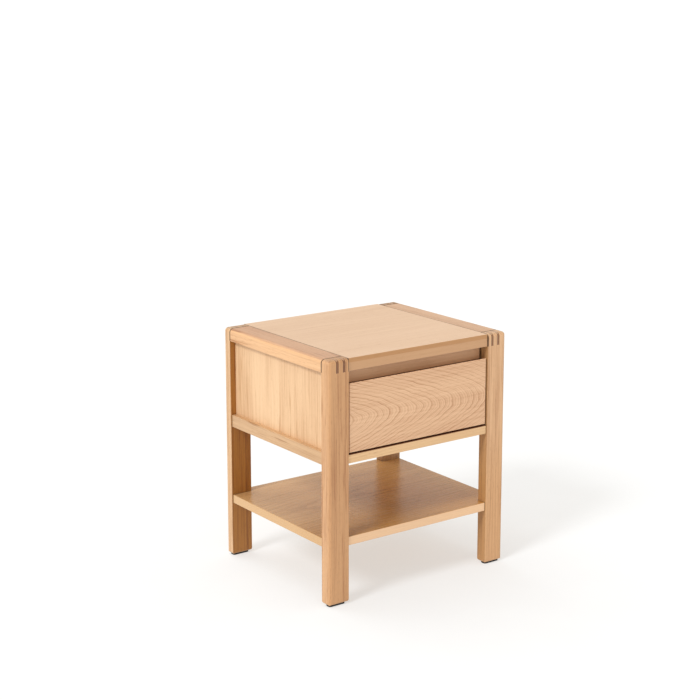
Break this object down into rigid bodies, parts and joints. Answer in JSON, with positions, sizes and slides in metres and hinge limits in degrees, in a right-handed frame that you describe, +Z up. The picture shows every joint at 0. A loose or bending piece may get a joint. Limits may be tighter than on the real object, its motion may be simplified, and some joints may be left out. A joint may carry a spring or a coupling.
{
  "type": "nightstand with drawer and open shelf",
  "caption": "Small oak bedside table with square-edged legs, finger-jointed top corners, a finger-pull drawer on telescopic slides and an open lower shelf.",
  "frame": {"origin": "on the floor, below the middle of the table", "axes": "+X to the right seen from the front, -Y out of the front, towards which the drawer opens, +Z up"},
  "size_m": [0.45, 0.38, 0.5],
  "materials": {
    "batten_wood": "planed wood",
    "bumper_rubber": "soft rubber",
    "cam_zinc": "die-cast zinc",
    "clip_plastic": "grey moulded plastic",
    "dowel_beech": "plain beech",
    "drawer_box": "satin wood, straight grain",
    "drawer_plywood": "matte plywood",
    "oak_drawer_front": "satin oiled oak with a large cathedral grain",
    "oak_frame": "satin oiled oak, straight grain along each leg and rail",
    "oak_panel": "satin oiled oak, upright grain",
    "oak_shelf": "satin oiled oak, grain along the width",
    "oak_top": "satin oiled oak, fine pale grain along the width",
    "pad_black": "black moulded plastic",
    "screw_steel": "zinc-plated steel",
    "slide_steel": "zinc-plated sheet steel"
  },
  "bodies": {
    "cabinet": {"back_panel": "oak_panel", "deck": "oak_shelf", "deck_dowels": "dowel_beech", "foot_nails": "screw_steel", "foot_pad_front_left": "pad_black", "foot_pad_front_right": "pad_black", "foot_pad_rear_left": "pad_black", "foot_pad_rear_right": "pad_black", "leg_front_left": "oak_frame", "leg_front_right": "oak_frame", "leg_rear_left": "oak_frame", "leg_rear_right": "oak_frame", "lower_rail_left": "oak_frame", "lower_rail_right": "oak_frame", "rear_bumpers": "bumper_rubber", "shelf": "oak_shelf", "shelf_cam_bolts": "screw_steel", "shelf_cams": "cam_zinc", "shelf_dowels": "dowel_beech", "side_panel_left": "oak_panel", "side_panel_right": "oak_panel", "slide_batten_left": "batten_wood", "slide_batten_right": "batten_wood", "slide_bracket_left": "slide_steel", "slide_bracket_right": "slide_steel", "slide_bracket_screws": "screw_steel", "slide_track_left": "slide_steel", "slide_track_right": "slide_steel", "top_dowels": "dowel_beech", "top_panel": "oak_top", "top_rail_left": "oak_frame", "top_rail_right": "oak_frame"},
    "slide_members": {"slide_middle_left": "slide_steel", "slide_middle_right": "slide_steel", "slide_sync_rod": "slide_steel"},
    "drawer": {"drawer_front": "oak_drawer_front", "drawer_inner_front": "drawer_box", "drawer_side_left": "drawer_box", "drawer_side_right": "drawer_box", "drawer_back": "drawer_box", "drawer_bottom": "drawer_plywood", "drawer_dowels": "dowel_beech", "drawer_front_screws": "screw_steel", "slide_runner_left": "slide_steel", "slide_runner_right": "slide_steel", "slide_clip_left": "clip_plastic", "slide_clip_right": "clip_plastic"}
  },
  "joints": [
    {"name": "drawer_slide", "type": "slide", "parent": "cabinet", "child": "drawer", "axis": [0, -1, 0], "range_m": [0, 0.28]},
    {"name": "slide_member_travel", "type": "slide", "parent": "cabinet", "child": "slide_members", "axis": [0, -1, 0], "range_m": [0, 0.14]}
  ],
  "couplings": [
    {"joint": "slide_member_travel", "follows": "drawer_slide", "ratio": 0.5}
  ]
}
